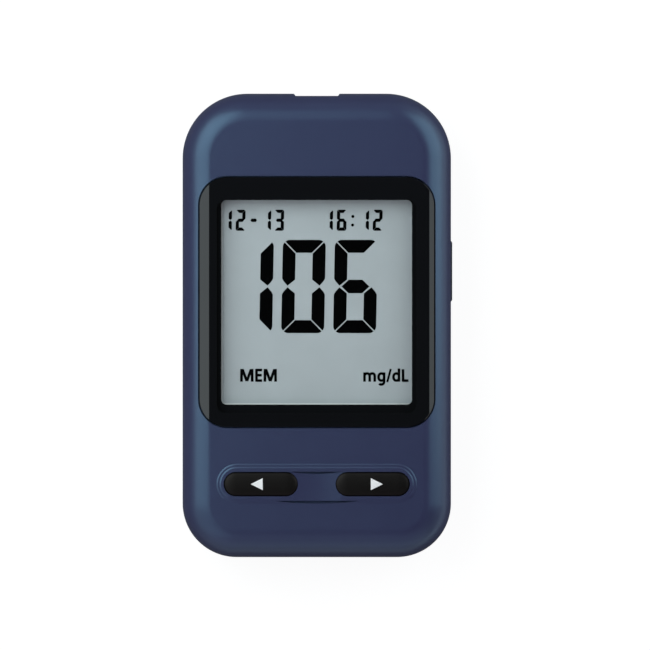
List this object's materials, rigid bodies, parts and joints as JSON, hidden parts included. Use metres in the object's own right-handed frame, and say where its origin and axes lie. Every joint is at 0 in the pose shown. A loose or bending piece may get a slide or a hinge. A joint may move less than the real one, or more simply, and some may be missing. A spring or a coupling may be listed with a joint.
{
  "type": "blood glucose meter",
  "caption": "Hand-held blood glucose meter with a rounded two-part case, large display window, two front keys, strip port, side ejector slide and battery door.",
  "frame": {"origin": "middle of the flat back, on the surface that the meter lies on", "axes": "+X across the meter to its right seen from the front, +Y along it to the strip port, +Z out of the display"},
  "size_m": [0.05, 0.086, 0.0172],
  "materials": {
    "case_plastic": "satin moulded shell, blue grey",
    "key_plastic": "satin black key caps with white marks",
    "slide_plastic": "fine satin",
    "black_plastic": "moulded",
    "inner_plastic": "natural moulded",
    "window": "polished, with a black printed border round a clear view",
    "polarizer": "fine diffuse film",
    "display_glass": "polished glass",
    "tape": "matt foam tape",
    "contact_rubber": "silicone with carbon layers",
    "board": "solder mask",
    "gold": "gold plated spring metal",
    "nickel": "nickel plated",
    "screw_steel": "zinc plated"
  },
  "bodies": {
    "case": {"front_cover": "case_plastic", "rear_cover": "case_plastic", "cover_screw_1": "screw_steel", "cover_screw_2": "screw_steel", "cover_screw_3": "screw_steel", "cover_screw_4": "screw_steel", "display_window": "window", "window_tape": "tape", "front_polarizer": "polarizer", "front_glass": "display_glass", "rear_glass": "display_glass", "rear_polarizer": "polarizer", "display_holder": "inner_plastic", "zebra_strip_top": "contact_rubber", "zebra_strip_bottom": "contact_rubber", "main_board": "board", "controller_chip": "black_plastic", "clock_crystal": "nickel", "sounder": "black_plastic", "switch_left": "black_plastic", "switch_right": "black_plastic", "strip_connector": "black_plastic", "strip_contact_1": "gold", "strip_contact_2": "gold", "strip_contact_3": "gold", "ejector_spring": "screw_steel", "coin_cell_left": "nickel", "coin_cell_right": "nickel", "negative_contact_left": "nickel", "negative_contact_right": "nickel", "positive_contact_left": "nickel", "positive_contact_right": "nickel"},
    "left_key": {"button_left": "key_plastic", "switch_plunger_left": "inner_plastic"},
    "right_key": {"button_right": "key_plastic", "switch_plunger_right": "inner_plastic"},
    "ejector": {"ejector_slider": "slide_plastic", "ejector_arm": "inner_plastic"},
    "door": {"battery_door": "case_plastic"}
  },
  "joints": [
    {"name": "left_key_press", "type": "slide", "parent": "case", "child": "left_key", "axis": [0, 0, -1], "range_m": [0, 0.0004], "stiffness_N_per_m": 1500, "springref_m": -0.0003},
    {"name": "right_key_press", "type": "slide", "parent": "case", "child": "right_key", "axis": [0, 0, -1], "range_m": [0, 0.0004], "stiffness_N_per_m": 1500, "springref_m": -0.0003},
    {"name": "ejector_slide", "type": "slide", "parent": "case", "child": "ejector", "axis": [0, 1, 0], "range_m": [0, 0.005], "stiffness_N_per_m": 300, "springref_m": -0.0017, "deforming": ["ejector_spring"]},
    {"name": "door_hinge", "type": "hinge", "parent": "case", "child": "door", "pos_m": [0, -0.0356, 0], "axis": [-1, 0, 0], "range_deg": [0, 60]}
  ]
}
